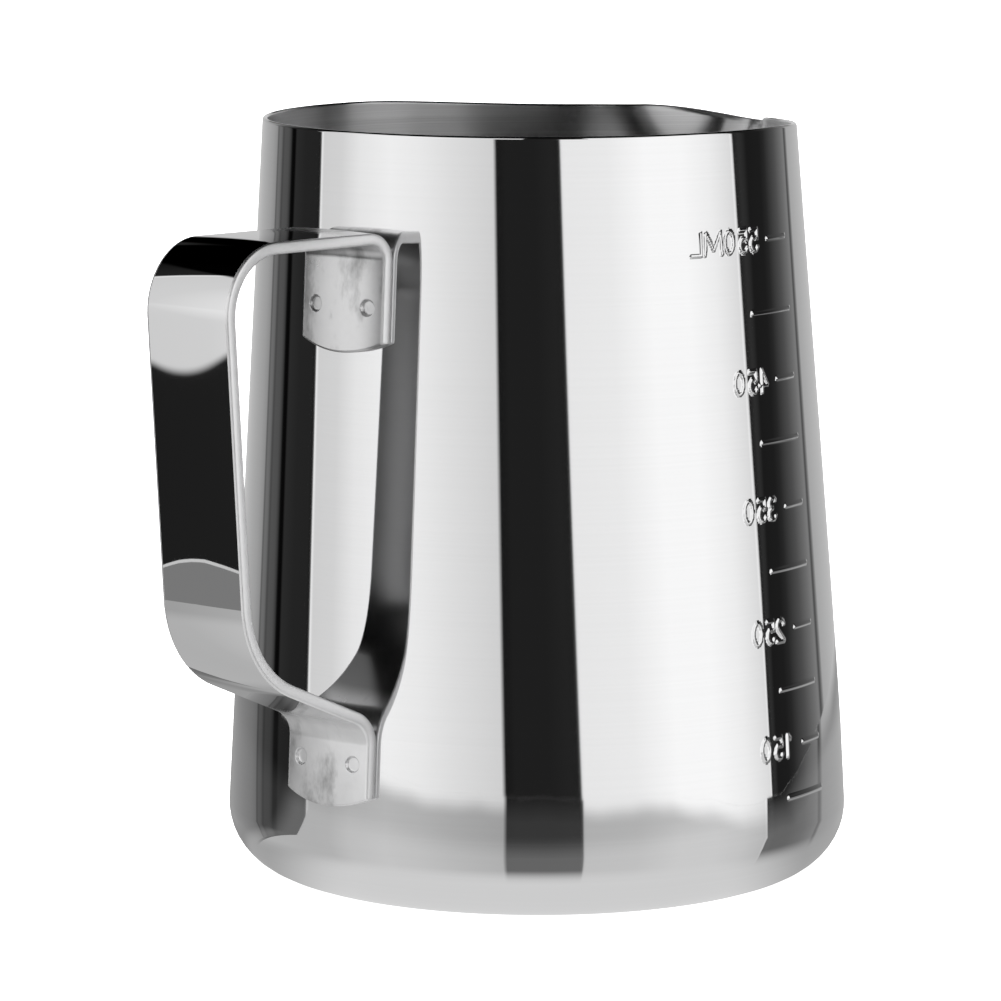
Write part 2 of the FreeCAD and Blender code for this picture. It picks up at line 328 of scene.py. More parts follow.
def vessel_point(column, row):
    """Position on the vessel's closed surface: out over the base, up, over the rim and back."""
    angle = column * 360.0 / VESSEL_COLUMNS
    turn = np.radians(angle)
    section, part = place_in(list(VESSEL_ROWS.values()), row)
    rim = rim_height(angle)
    step = 0.1
    lean = np.arctan2(wall_radius(angle, rim - step) - wall_radius(angle, rim), step)
    bead = SHEET / 2 * np.cos(lean)
    centre = rim - bead
    outer_top, inner_top = centre + bead * np.sin(lean), centre - bead * np.sin(lean)
    outer_foot = CORNER_RADIUS + CORNER_RADIUS * math.sin(TAPER)
    inner_bend = CORNER_RADIUS - SHEET
    inner_foot = CORNER_RADIUS + inner_bend * math.sin(TAPER)
    result = np.zeros((len(angle), 3))

    def put(mask, radius, z):
        result[mask] = np.stack([radius * np.cos(turn[mask]), radius * np.sin(turn[mask]), z], 1)

    names = list(VESSEL_ROWS)
    for i, name in enumerate(names):
        here = section == i
        share = part[here]
        level = np.zeros_like(share)
        if name == "base":
            put(here, BASE_HUB + (CORNER_CENTRE - BASE_HUB) * share, level)
        elif name == "inner base":
            put(here, CORNER_CENTRE + (BASE_HUB - CORNER_CENTRE) * share, level + SHEET)
        elif name == "corner":
            tilt = (TAPER + math.pi / 2) * share - math.pi / 2
            put(here, CORNER_CENTRE + CORNER_RADIUS * np.cos(tilt),
                CORNER_RADIUS + CORNER_RADIUS * np.sin(tilt))
        elif name == "inner corner":
            tilt = TAPER - (TAPER + math.pi / 2) * share
            put(here, CORNER_CENTRE + inner_bend * np.cos(tilt),
                CORNER_RADIUS + inner_bend * np.sin(tilt))
        elif name == "wall":
            z = outer_foot + (outer_top[here] - outer_foot) * share
            result[here] = outline(angle[here], z, -stamp(angle[here], z))
        elif name == "inner wall":
            z = inner_top[here] + (inner_foot - inner_top[here]) * share
            result[here] = outline(angle[here], z, SHEET - stamp(angle[here], z))
        else:
            tilt = lean[here] + math.pi * share
            inset = bead[here] * (np.cos(lean[here]) - np.cos(tilt))
            result[here] = outline(angle[here], outer_top[here], inset)
            result[here, 2] = centre[here] + bead[here] * np.sin(tilt)
    return result


def vessel_parts(column, row):
    """Fine cells along the stamped strokes, and half-size ones round the spout."""
    angle = column * 360.0 / VESSEL_COLUMNS
    point = vessel_point(column, row)
    parts = np.ones(len(column), int)
    away = np.abs(half_turn(angle))
    parts[(away < SPOUT_FINE_SIDE) & (point[:, 2] > HEIGHT - SPOUT_LENGTH)] = 2
    near = in_scale(angle, point[:, 2])
    distance = stroke_nearness(angle[near], point[near, 2]) * STROKE_HALF_WIDTH
    parts[np.flatnonzero(near)[distance < STROKE_HALF_WIDTH + FINE_MARGIN]] = FINE
    return parts


def make_vessel(outside, inside):
    rows = sum(VESSEL_ROWS.values())
    vessel, places = grid_mesh("steel_vessel", VESSEL_COLUMNS, rows, vessel_parts,
                               vessel_point, lambda ring: [ring])
    vessel.data.materials.append(outside)
    vessel.data.materials.append(inside)
    turnover = sum(list(VESSEL_ROWS.values())[:3]) + VESSEL_ROWS["rim"] - 1
    slots = [int(row >= turnover) for _, row in places] + [0, 1]
    vessel.data.polygons.foreach_set("material_index", slots)
    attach(vessel, "root")
    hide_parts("vessel")


# ---------------------------------------------------------------- handle strap

FLAT_HALF = STRAP_WIDTH / 2 - STRAP_EDGE
FACE_COLUMNS = 26
EDGE_COLUMNS = 8
STRAP_COLUMNS = 2 * (FACE_COLUMNS + EDGE_COLUMNS)
ROUNDING_ROWS = 4
ROW_LENGTH = 0.9          # on the straight runs
ROW_TURN = 4.0            # on the bends


def tab_wrap(z):
    """How far the wall falls away from the middle of a tab to the ends of its flat faces."""
    radius = cone_radius(z)
    return radius - math.sqrt(radius ** 2 - FLAT_HALF ** 2)


def strap_stretches():
    """The centre line as rows of (reach, height, heading, curvature, length, wrap, wrap after)."""
    def tab_point(z):
        return (cone_radius(z) + TAB_GAP + STRAP_THICKNESS / 2 / math.cos(TAPER), z)

    corners = [(tab_point(TOP_TAB_END), 0.0), (tab_point(TOP_RUN_HEIGHT), TOP_TAB_BEND),
               (GRIP_TOP, GRIP_TOP_BEND), (GRIP_FOOT, GRIP_FOOT_BEND),
               (tab_point(LOWER_TAB_CORNER_HEIGHT), LOWER_TAB_BEND),
               (tab_point(LOWER_TAB_END), 0.0)]
    headings = [math.atan2(high[1] - low[1], high[0] - low[0])
                for (low, _), (high, _) in zip(corners, corners[1:])]
    runs = []
    begin = corners[0][0]
    for i, (corner, radius) in enumerate(corners[1:-1], 1):
        before = headings[i - 1]
        turn = (headings[i] - before + math.pi) % (2 * math.pi) - math.pi
        tangent = radius * math.tan(abs(turn) / 2)
        entry = (corner[0] - tangent * math.cos(before), corner[1] - tangent * math.sin(before))
        runs.append((*begin, before, 0.0, math.dist(begin, entry)))
        runs.append((*entry, before, math.copysign(1.0 / radius, turn), radius * abs(turn)))
        begin = (corner[0] + tangent * math.cos(headings[i]),
                 corner[1] + tangent * math.sin(headings[i]))
    runs.append((*begin, headings[-1], 0.0, math.dist(begin, corners[-1][0])))
    wraps = ([tab_wrap(TOP_TAB_END)] * 2 + [-STRAP_CROWN] * (len(runs) - 3)
             + [-tab_wrap(LOWER_TAB_END)] * 2)
    return [run + (wrap, after) for run, wrap, after in zip(runs, wraps, wraps[1:])]


STRETCHES = strap_stretches()
GRIP_STRETCH = 4          # the straight grip's place among them


def strap_rows():
    """Row counts: the rounded end of the first tab, each stretch, and the other rounded end."""
    counts = [ROUNDING_ROWS]
    for _, _, _, curvature, length, _, _ in STRETCHES:
        if curvature:
            counts.append(math.ceil(math.degrees(abs(curvature) * length) / ROW_TURN))
        else:
            counts.append(math.ceil(length / ROW_LENGTH))
    return counts + [ROUNDING_ROWS]


def strap_section(column):
    """Place round the strip's section: distance across it, and -1 to 1 through its thickness."""
    counts = [FACE_COLUMNS, EDGE_COLUMNS] * 2
    side, part = place_in(counts, column % STRAP_COLUMNS)
    turn = math.pi * (0.5 - part)
    bulge = STRAP_EDGE * np.abs(np.cos(turn)) ** 0.6
    through = np.sign(np.sin(turn)) * np.abs(np.sin(turn)) ** 0.6
    face = FLAT_HALF * (2.0 * part - 1.0)
    across = np.choose(side, [face, FLAT_HALF + bulge, -face, -FLAT_HALF - bulge])
    skin = np.choose(side, [np.ones_like(part), through, -np.ones_like(part), -through])
    return across, skin


def grip_dish(across, index, travel):
    """Depth of the grip's hollows beside its two bends."""
    lengths = [stretch[4] for stretch in STRETCHES]
    done = np.cumsum([0.0] + lengths)[index] + travel
    grip_start = sum(lengths[:GRIP_STRETCH])
    ends = (grip_start, grip_start + lengths[GRIP_STRETCH])
    fades = [depth * np.exp(-((done - end) / GRIP_DISH_LENGTH) ** 2 / 2)
             for end, depth in zip(ends, GRIP_DISH)]
    return sum(fades) * (1.0 - (across / FLAT_HALF) ** 2)


def weld_dimple(across, height, weld):
    """Depth of the round marks of the welding electrodes, at a height on a tab."""
    away = np.hypot(np.abs(across) - WELD_SPACING / 2, height - weld)
    return DIMPLE_DEPTH * (1.0 - smooth_step(away, DIMPLE_RADIUS - DIMPLE_WALL, DIMPLE_RADIUS))


def strap_point(column, row):
    """Position on the strap's closed surface, round its section and along its centre line."""
    across, skin = strap_section(column)
    counts = strap_rows()
    section, part = place_in(counts, row)
    index = np.clip(section - 1, 0, len(STRETCHES) - 1)
    reach, height, heading, curvature, length, wrap, after = np.array(STRETCHES)[index].T
    setback = TAB_END_RADIUS - np.sqrt(TAB_END_RADIUS ** 2 - across ** 2)
    first, last = section == 0, section == len(counts) - 1
    top_tab, lower_tab = index == 0, index == len(STRETCHES) - 1
    rounding = TAB_EDGE_ROUNDING * (1.0 - np.cos(part * math.pi / 2))
    travel = part * length
    body = length - setback - TAB_EDGE_ROUNDING
    travel = np.where(top_tab, setback + TAB_EDGE_ROUNDING + part * body, travel)
    travel = np.where(lower_tab, part * body, travel)
    travel = np.where(first, setback + rounding, travel)
    far = TAB_EDGE_ROUNDING * np.sin(part * math.pi / 2)
    travel = np.where(last, length - setback - TAB_EDGE_ROUNDING + far, travel)
    thin = np.zeros_like(part)
    thin = np.where(first, TAB_EDGE_ROUNDING * (1.0 - np.sin(part * math.pi / 2)), thin)
    thin = np.where(last, TAB_EDGE_ROUNDING * (1.0 - np.cos(part * math.pi / 2)), thin)
    turned = curvature * travel
    curved = np.abs(curvature) > 0.0
    safe = np.where(curved, curvature, 1.0)
    ahead = np.where(curved, np.sin(turned) / safe, travel)
    aside = np.where(curved, (1.0 - np.cos(turned)) / safe, 0.0)
    centre_reach = reach + ahead * np.cos(heading) - aside * np.sin(heading)
    centre_height = height + ahead * np.sin(heading) + aside * np.cos(heading)
    blend = smooth_step(np.where(curved, travel / length, 0.0), 0.0, 1.0)
    wrapped = (wrap + (after - wrap) * blend) * (across / FLAT_HALF) ** 2
    offset = wrapped + skin * (STRAP_THICKNESS / 2 - thin)
    offset -= grip_dish(across, index, travel)
    for tab, weld, face in ((top_tab, TOP_WELD_HEIGHT, -1.0), (lower_tab, LOWER_WELD_HEIGHT, 1.0)):
        depth = weld_dimple(across, centre_height, weld)
        offset -= np.where(tab & (skin == face), face * depth, 0.0)
    direction = heading + turned
    return np.stack([-(centre_reach - offset * np.sin(direction)), across,
                     centre_height + offset * np.cos(direction)], axis=1)


def strap_parts(column, row):
    """Fine cells round the weld dimples."""
    point = strap_point(column, row)
    parts = np.ones(len(column), int)
    on_tab = -point[:, 0] < BASE_RADIUS + 2 * STRAP_THICKNESS
    for weld in (TOP_WELD_HEIGHT, LOWER_WELD_HEIGHT):
        away = np.hypot(np.abs(point[:, 1]) - WELD_SPACING / 2, point[:, 2] - weld)
        parts[on_tab & (away < DIMPLE_RADIUS + DIMPLE_MARGIN)] = FINE
    return parts


def strap_cap(ring):
    """Faces across the end of the strip, between each corner and the one that faces it."""
    def facing(i):
        return (2 * FACE_COLUMNS + EDGE_COLUMNS - i) % STRAP_COLUMNS

    half_edge = EDGE_COLUMNS // 2
    faces = []
    for i in range(-half_edge, FACE_COLUMNS + half_edge):
        corners = [i % STRAP_COLUMNS, (i + 1) % STRAP_COLUMNS, facing(i + 1), facing(i)]
        faces.append([ring[corner] for corner in dict.fromkeys(corners)])
    return faces


def make_strap(outer, inner, edge):
    strap, places = grid_mesh("steel_strap", STRAP_COLUMNS, sum(strap_rows()), strap_parts,
                              strap_point, strap_cap)
    for material in (outer, inner, edge):
        strap.data.materials.append(material)
    sides, _ = place_in([FACE_COLUMNS, EDGE_COLUMNS] * 2, np.array([c for c, _ in places]))
    slots = np.full(len(strap.data.polygons), 2)
    slots[:len(places)] = np.array([0, 2, 1, 2])[sides]
    strap.data.polygons.foreach_set("material_index", slots)
    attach(strap, "root")
    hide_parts("handle_strap")


# ---------------------------------------------------------------- materials

TAB_FROM = (-0.0535, -0.0485)   # metres along X over which the grip's finish becomes the tabs'


def add(tree, kind, inputs=None, **settings):
    """A node with its settings, and its inputs as values or as links."""
    made = tree.nodes.new(kind)
    for name, value in settings.items():
        setattr(made, name, value)
    for name, value in (inputs or {}).items():
        if isinstance(value, bpy.types.NodeSocket):
            tree.links.new(value, made.inputs[name])
        else:
            made.inputs[name].default_value = value
    return made


def maths(tree, operation, *values):
    node = add(tree, "ShaderNodeMath", dict(enumerate(values)), operation=operation)
    return node.outputs[0]


def span(tree, value, low, high, to_low, to_high, kind="SMOOTHSTEP"):
    """value mapped from low..high to to_low..to_high, and held beyond them."""
    inputs = {"Value": value, "From Min": low, "From Max": high, "To Min": to_low,
              "To Max": to_high}
    return add(tree, "ShaderNodeMapRange", inputs, interpolation_type=kind).outputs["Result"]


def product(tree, first, *others):
    for other in others:
        first = maths(tree, "MULTIPLY", first, other)
    return first


def blend(tree, share, off, on):
    """off where share is 0, on where it is 1, and between the two in between."""
    return maths(tree, "ADD", product(tree, on, share),
                 product(tree, off, maths(tree, "SUBTRACT", 1.0, share)))


def noise(tree, place, stretch, detail=3.0, roughness=0.5, offset=0.0):
    """Noise over row-frame places, stretch being its frequency along x, y and z."""
    scaled = add(tree, "ShaderNodeMapping", {"Vector": place, "Scale": stretch,
                                            "Location": (offset, offset, offset)})
    inputs = {"Vector": scaled.outputs["Vector"], "Scale": 1.0, "Detail": detail,
              "Roughness": roughness}
    return add(tree, "ShaderNodeTexNoise", inputs).outputs["Fac"]


def start_material(name):
    material = bpy.data.materials.new(name)
    material.use_nodes = True
    tree = material.node_tree
    tree.nodes.clear()
    place = add(tree, "ShaderNodeTexCoord").outputs["Object"]
    return material, tree, place


def finish_material(tree, colour, roughness, bump, bump_height, anisotropy=0.0, tangent=None):
    """Metal surface from a colour, a roughness and a bump height map."""
    relief = add(tree, "ShaderNodeBump", {"Strength": 1.0, "Distance": bump_height, "Height": bump})
    inputs = {"Base Color": colour, "Metallic": 1.0, "Roughness": roughness,
              "Normal": relief.outputs["Normal"], "Anisotropic": anisotropy}
    if tangent:
        inputs["Tangent"] = tangent
        inputs["Anisotropic Rotation"] = 0.25
    surface = add(tree, "ShaderNodeBsdfPrincipled", inputs)
    add(tree, "ShaderNodeOutputMaterial", {"Surface": surface.outputs["BSDF"]})


def grey(tree, value, warm=0.0):
    """Steel's colour from a brightness."""
    parts = {"Red": value, "Green": value, "Blue": maths(tree, "MULTIPLY", value, 1.004 - warm)}
    return add(tree, "ShaderNodeCombineColor", parts).outputs["Color"]


def polished_steel():
    """Outside of the vessel: mirror polish over faint marks of the belt that ran round it."""
    material, tree, place = start_material("vessel_polished")
    belt = noise(tree, place, (9.0, 9.0, 2600.0), detail=4.0)
    handling = noise(tree, place, (26.0, 26.0, 20.0), detail=5.0, roughness=0.62)
    value = maths(tree, "MULTIPLY_ADD", belt, 0.03, 0.81)
    roughness = maths(tree, "MULTIPLY_ADD", handling, 0.02, 0.02)
    finish_material(tree, grey(tree, value), roughness, belt, 0.0000002)
    return material


def brushed_steel():
    """Inside of the vessel: brushed round and round, so its glints stand upright."""
    material, tree, place = start_material("vessel_brushed")
    fine = noise(tree, place, (14.0, 14.0, 5200.0), detail=3.0)
    broad = noise(tree, place, (6.0, 6.0, 700.0), detail=4.0)
    grain = maths(tree, "MULTIPLY_ADD", broad, 0.5, maths(tree, "MULTIPLY", fine, 0.5))
    value = maths(tree, "MULTIPLY_ADD", grain, 0.5, 0.55)
    roughness = maths(tree, "MULTIPLY_ADD", grain, 0.1, 0.27)
    tangent = add(tree, "ShaderNodeTangent", direction_type="RADIAL", axis="Z").outputs["Tangent"]
    finish_material(tree, grey(tree, value), roughness, grain, 0.00003, 0.98, tangent)
    return material


def strap_steel(name, grip_tone_and_painted_shade, grip_roughness, scratch_depth):
    """A side of the strap: its finish on the grip, darkened on the inner side as painted shade, and
    satin with stains on the tabs.
    """
    material, tree, place = start_material(name)
    x = add(tree, "ShaderNodeSeparateXYZ", {"Vector": place}).outputs["X"]
    tab = span(tree, x, *TAB_FROM, 0.0, 1.0)
    cloud = noise(tree, place, (160.0, 160.0, 160.0), detail=5.0, roughness=0.6)
    smear = noise(tree, place, (60.0, 110.0, 60.0), detail=5.0, roughness=0.65, offset=3.0)
    stain = span(tree, smear, 0.48, 0.7, 1.0, 0.45)
    satin = maths(tree, "MULTIPLY_ADD", cloud, 0.16, 0.22)
    mirror = maths(tree, "MULTIPLY_ADD", smear, 0.006, grip_roughness - 0.003)
    tab_shade = product(tree, maths(tree, "MULTIPLY_ADD", cloud, 0.3, 0.7), stain)
    scratches = noise(tree, place, (900.0, 2400.0, 300.0), detail=2.0)
    finish_material(tree, grey(tree, blend(tree, tab, grip_tone_and_painted_shade, tab_shade)),
                    blend(tree, tab, mirror, satin), scratches, scratch_depth)
    return material


def strap_edge_steel():
    """Edges of the strap: satin from being sheared and tumbled, and lighter than its faces, which is
    a painted highlight.
    """
    material, tree, place = start_material("strap_edge")
    grain = noise(tree, place, (500.0, 900.0, 500.0), detail=4.0)
    # a base colour above the faces' 0.8, up to 1.02: painted highlight
    value = maths(tree, "MULTIPLY_ADD", grain, 0.12, 0.9)
    roughness = maths(tree, "MULTIPLY_ADD", grain, 0.1, 0.42)
    finish_material(tree, grey(tree, value), roughness, grain, 0.000003)
    return material


def weld_steel():
    """Fused nuggets: dull and mottled."""
    material, tree, place = start_material("weld_fused")
    cloud = noise(tree, place, (900.0, 900.0, 900.0), detail=4.0)
    value = maths(tree, "MULTIPLY_ADD", cloud, 0.2, 0.5)
    roughness = maths(tree, "MULTIPLY_ADD", cloud, 0.2, 0.4)
    finish_material(tree, grey(tree, value, 0.01), roughness, cloud, 0.00002)
    return material


# ---------------------------------------------------------------- camera

CAMERA_AZIMUTH = math.radians(-50.0)   # 0 looks along +Y, and 90 along -X
CAMERA_ELEVATION = math.radians(8.13)
CAMERA_DISTANCE = 0.7907
CAMERA_LENS = 192.4
TARGET_HEIGHT = 0.0572
AIM_RIGHT = -0.0054       # the camera points a little beside the target, as framed
AIM_UP = -0.0029


def make_camera():
    back = Vector((math.sin(CAMERA_AZIMUTH) * math.cos(CAMERA_ELEVATION),
                   -math.cos(CAMERA_AZIMUTH) * math.cos(CAMERA_ELEVATION),
                   math.sin(CAMERA_ELEVATION)))
    right = Vector((math.cos(CAMERA_AZIMUTH), math.sin(CAMERA_AZIMUTH), 0.0))
    target = Vector((0.0, 0.0, TARGET_HEIGHT))
    aim = target + right * AIM_RIGHT + back.cross(right) * AIM_UP
    data = bpy.data.cameras.new("camera")
    data.lens = CAMERA_LENS
    data.sensor_width = 36.0
    data.clip_start, data.clip_end = 0.05, 50.0
    camera = bpy.data.objects.new("camera", data)
    camera.location = target + back * CAMERA_DISTANCE
    camera.rotation_mode = "QUATERNION"
    camera.rotation_quaternion = (aim - camera.location).to_track_quat("-Z", "Y")
    bpy.context.scene.collection.objects.link(camera)
    bpy.context.scene.camera = camera


# ---------------------------------------------------------------- studio

STEEL_MIRROR = 0.82       # share of light that polished steel returns
FRONT = math.degrees(CAMERA_AZIMUTH) - 90.0   # direction towards the camera, from +X

# What surrounds the pitcher, as (azimuth from the camera to its right, display brightness from
# 0 to 255 as seen in the steel): bright panels left and right, dark gaps between and beyond
# them, and a grey wall with narrow dark lines behind. These levels aren't a design: a program
# sampled them from the photograph's reflections, and they were then thinned and shifted.
LEFT_SIDE = [
    (-180, 190), (-165, 176), (-145, 152), (-139.7, 138), (-138.6, 86), (-137, 107),
    (-134.5, 102), (-132.6, 67), (-131, 80), (-127, 77), (-125, 58), (-123.6, 9), (-121, 7),
    (-119.8, 42), (-112, 35), (-103, 34), (-101.3, 20), (-100.8, 238), (-99.2, 204), (-88, 208),
    (-78, 227), (-62, 237), (-48, 231), (-34, 219), (-16.6, 206), (-15.8, 22), (-12, 30), (0, 30),
]
RIGHT_SIDE = [
    (0, 30), (7, 34), (10.5, 30), (11.3, 229), (30, 232), (46, 246), (62, 246), (75, 236),
    (87.4, 216), (88.4, 250), (89, 8), (89.8, 34), (92.5, 46), (95, 40), (97.5, 26), (108, 28),
    (112, 38), (122, 76), (130, 106), (134.5, 122), (136.4, 71), (138, 100), (140.5, 161),
    (150, 169), (165, 178), (180, 188),
]
LEAN = (0.75, 1.4)        # the panels' upright edges lean: degrees per degree of elevation,
LEAN_SIDES = (-20, 55)    # left of the first azimuth and right of the second one
LEAN_END = (95, 106)      # and not at all beyond here,
LEAN_LOWEST = -8.0        # nor any further below this elevation
LEAN_TOP = (3.5, 6.0)     # elevations over which the lean ends,
GAP_SWAY = -10.0          # and the gap before the camera is turned by so many degrees instead,
SWAY_SIDE = (50.0, 70.0)  # but nothing further to either side
PANEL_FOOT = -12.37       # elevation of the panels' lower edge where the grip shows it,
PANEL_FOOT_AT = -85       # which is at this azimuth, and how it falls to the right
PANEL_FOOT_SLOPE = 0.044
PANEL_FOOT_BLUR = 0.06
PANEL_TOP = (41.0, 43.0)
WALL_SIDE = (98.0, 130.0)   # azimuths either way where the panels' height gives way to the wall's
WALL_FADE = (4.0, 36.0)   # elevations over which the grey wall fades upwards
OPENING_SIDE = (158.0, 166.0)   # a dark opening straight behind, from one azimuth to the other
OPENING_FOOT = (10.0, 14.0)
DARK_SHARE = 0.02         # share of their light that there is above and below the panels


def linear(shade):
    """Light for a display value from 0 to 255."""
    share = shade / 255.0
    return share / 12.92 if share <= 0.04045 else ((share + 0.055) / 1.055) ** 2.4


def side_ramp(tree, azimuth, levels):
    """Light over half the horizon, from its list of levels."""
    start, end = levels[0][0], levels[-1][0]
    place = span(tree, azimuth, start, end, 0.0, 1.0, "LINEAR")
    ramp = add(tree, "ShaderNodeValToRGB", {"Fac": place})
    stops = ramp.color_ramp.elements
    while len(stops) < len(levels):
        stops.new(0.5)
    for stop, (angle, shade) in zip(stops, levels):
        stop.position = (angle - start) / (end - start)
        light = linear(shade) / STEEL_MIRROR
        stop.color = (light, light, light, 1.0)
    return ramp.outputs["Color"]


def camera_azimuth(tree, vector):
    """Azimuth of a direction or a place, from the camera to its right."""
    axes = []
    for angle in (FRONT, FRONT + 90.0):
        turn = math.radians(angle)
        axis = (math.cos(turn), math.sin(turn), 0.0)
        dot = add(tree, "ShaderNodeVectorMath", {0: vector, 1: axis}, operation="DOT_PRODUCT")
        axes.append(dot.outputs["Value"])
    return maths(tree, "DEGREES", maths(tree, "ARCTAN2", axes[1], axes[0]))


def horizon_light(tree, azimuth, pitch):
    """Light of the panels, the gaps and the wall at an azimuth and an elevation."""
    lean = product(tree, span(tree, azimuth, *LEAN_SIDES, *LEAN, "LINEAR"),
                   span(tree, azimuth, *LEAN_END, 1.0, 0.0))
    shifted = maths(tree, "MULTIPLY_ADD", pitch, lean, azimuth)
    on_right = maths(tree, "GREATER_THAN", shifted, 0.0)
    side = add(tree, "ShaderNodeMix", {0: on_right, 6: side_ramp(tree, shifted, LEFT_SIDE),
                                       7: side_ramp(tree, shifted, RIGHT_SIDE)}, data_type="RGBA")
    return side.outputs[2]


def make_world():
    """The studio round about, which the steel shows, and plain white where the camera sees it."""
    world = bpy.data.worlds.new("studio")
    world.use_nodes = True
    tree = world.node_tree
    tree.nodes.clear()
    direction = add(tree, "ShaderNodeTexCoord").outputs["Generated"]
    azimuth = camera_azimuth(tree, direction)
    aside = maths(tree, "ABSOLUTE", azimuth)
    z = add(tree, "ShaderNodeSeparateXYZ", {"Vector": direction}).outputs["Z"]
    pitch = maths(tree, "DEGREES", maths(tree, "ARCSINE", z))
    leaning = product(tree, maths(tree, "MAXIMUM", pitch, LEAN_LOWEST),
                      span(tree, pitch, *LEAN_TOP, 1.0, 0.0))
    sway = product(tree, span(tree, pitch, *LEAN_TOP, 0.0, GAP_SWAY),
                   span(tree, aside, *SWAY_SIDE, 1.0, 0.0))
    side = horizon_light(tree, maths(tree, "ADD", azimuth, sway), leaning)
    foot_line = maths(tree, "MULTIPLY_ADD", maths(tree, "SUBTRACT", azimuth, PANEL_FOOT_AT),
                      PANEL_FOOT_SLOPE, pitch)
    foot = span(tree, foot_line, PANEL_FOOT - PANEL_FOOT_BLUR, PANEL_FOOT + PANEL_FOOT_BLUR,
                0.0, 1.0)
    panels = product(tree, foot, span(tree, pitch, *PANEL_TOP, 1.0, 0.0))
    opening = product(tree, span(tree, aside, *OPENING_SIDE, 0.0, 1.0),
                      span(tree, pitch, *OPENING_FOOT, 0.0, 1.0))
    wall = product(tree, span(tree, pitch, *WALL_FADE, 1.0, 0.0, "LINEAR"),
                   maths(tree, "SUBTRACT", 1.0, opening))
    behind = span(tree, aside, *WALL_SIDE, 0.0, 1.0)
    share = blend(tree, behind, maths(tree, "MAXIMUM", panels, DARK_SHARE), wall)
    lit = add(tree, "ShaderNodeBackground", {"Color": side, "Strength": share})
    plain = add(tree, "ShaderNodeBackground", {"Color": (1.0, 1.0, 1.0, 1.0), "Strength": 1.0})
    seen = add(tree, "ShaderNodeLightPath").outputs["Is Camera Ray"]
    mix = add(tree, "ShaderNodeMixShader", {0: seen, 1: lit.outputs[0], 2: plain.outputs[0]})
    add(tree, "ShaderNodeOutputWorld", {"Surface": mix.outputs[0]})
    bpy.context.scene.world = world


DISC_ANGLES = [360.0 * i / 240 for i in range(240)]


def disc(name, z, rings, materials):
    """Rings about the axis: rings(angle) gives their outer radii, from the middle out."""
    vertices, faces = [(0.0, 0.0, z)], []
    for angle in DISC_ANGLES:
        turn = math.radians(angle)
        for reach in rings(angle):
            vertices.append((reach * math.cos(turn), reach * math.sin(turn), z))
    size = len(materials)
    for i in range(len(DISC_ANGLES)):
        low, high = 1 + i * size, 1 + (i + 1) % len(DISC_ANGLES) * size
        faces.append((0, low, high))
        for ring in range(size - 1):
            faces.append((low + ring, low + ring + 1, high + ring + 1, high + ring))
    mesh = bpy.data.meshes.new(name)
    mesh.from_pydata(vertices, [], faces)
    for material in dict.fromkeys(materials):
        mesh.materials.append(material)
    slots = [mesh.materials.find(material.name) for material in materials]
    mesh.polygons.foreach_set("material_index", slots * len(DISC_ANGLES))
    piece = bpy.data.objects.new(name, mesh)
    bpy.context.scene.collection.objects.link(piece)
    return piece


# The table top, which is seen in the steel only: distance to its edge in metres, by azimuth
# from the camera to its right, adjusted until the reflections followed the photograph's
TABLE_EDGE = [
    (-180, 0.27), (-73, 0.26), (-58, 0.246), (-47, 0.244), (-33, 0.244), (-19, 0.25),
    (0, 0.25), (15, 0.242), (25, 0.236), (35, 0.232), (45, 0.225), (50, 0.21), (60, 0.19),
    (70, 0.165), (90, 0.15), (180, 0.27),
]
# Waves along its edge: height, and degrees of phase for each degree of azimuth
TABLE_WAVES = ((0.0015, 13.0), (0.001, math.degrees(0.55)))
TABLE_FADE = 0.045        # width of its edge, over which it comes to match what is behind it
TABLE_BORDER = 0.024      # width of its border, a band of painted shade, which is on the left only
TABLE_RIM = 0.002
TABLE_SEAM = 0.001        # width of the ring between its even part and its border
BORDER_SIDE = (-104, -56)
BORDER_SHADE, RIM_SHADE = 120, 195   # painted shade of the border and painted highlight of the rim, as seen in the steel
SLIVER = 0.0001           # width of a ring where it isn't wanted
PAINTED_REFLECTION_SHARE = 0.5        # share of the light of what stands behind it that its painted reflection passes on
TABLE_PITCH = -5.7        # elevation at which the steel sees it
TABLE_LIGHT = (0.6, 0.12, 0.03)   # its own light as seen in the steel, from the pitcher outwards:
NEAR_LIGHT = (0.049, 0.062)   # distances over which it changes from the first to the second,
FAR_LIGHT = (0.135, 0.18)     # and from the second to the third
NEAR_SIDE = (40.0, 75.0)  # azimuths either way over which the light beside the pitcher falls
NEAR_SIDE_SHARE = 0.45    # to this share
DARK_SIDE = (-96.0, -84.0)   # and azimuths over which the light further out falls
DARK_SIDE_SHARE = 0.2
HALF_STEEL = 0.023        # half the steel's own distance from the axis
LEFT_BOUND = (-84.0, -80.0)   # right of here, the table shows nothing that stands further left
LEFT_BOUND_AT = -92.0     # than this azimuth


def table_edge(azimuth):
    waves = [height * math.sin(math.radians(pace * azimuth)) for height, pace in TABLE_WAVES]
    return float(np.interp(azimuth, *zip(*TABLE_EDGE))) + sum(waves)


def table_rings(angle):
    """Distances to the ends of the table's even part, its fading part, its border and its rim,
    and how far each of them has faded."""
    azimuth = half_turn(angle - FRONT)
    edge = table_edge(azimuth)
    if BORDER_SIDE[0] < azimuth < BORDER_SIDE[1]:
        top = edge - TABLE_RIM - TABLE_BORDER
        return (top - TABLE_SEAM, top, edge - TABLE_RIM, edge), (0.0, 0.0, 0.0, 0.0)
    return (edge - TABLE_FADE, edge - 2 * SLIVER, edge - SLIVER, edge), (0.0, 1.0, 1.0, 1.0)


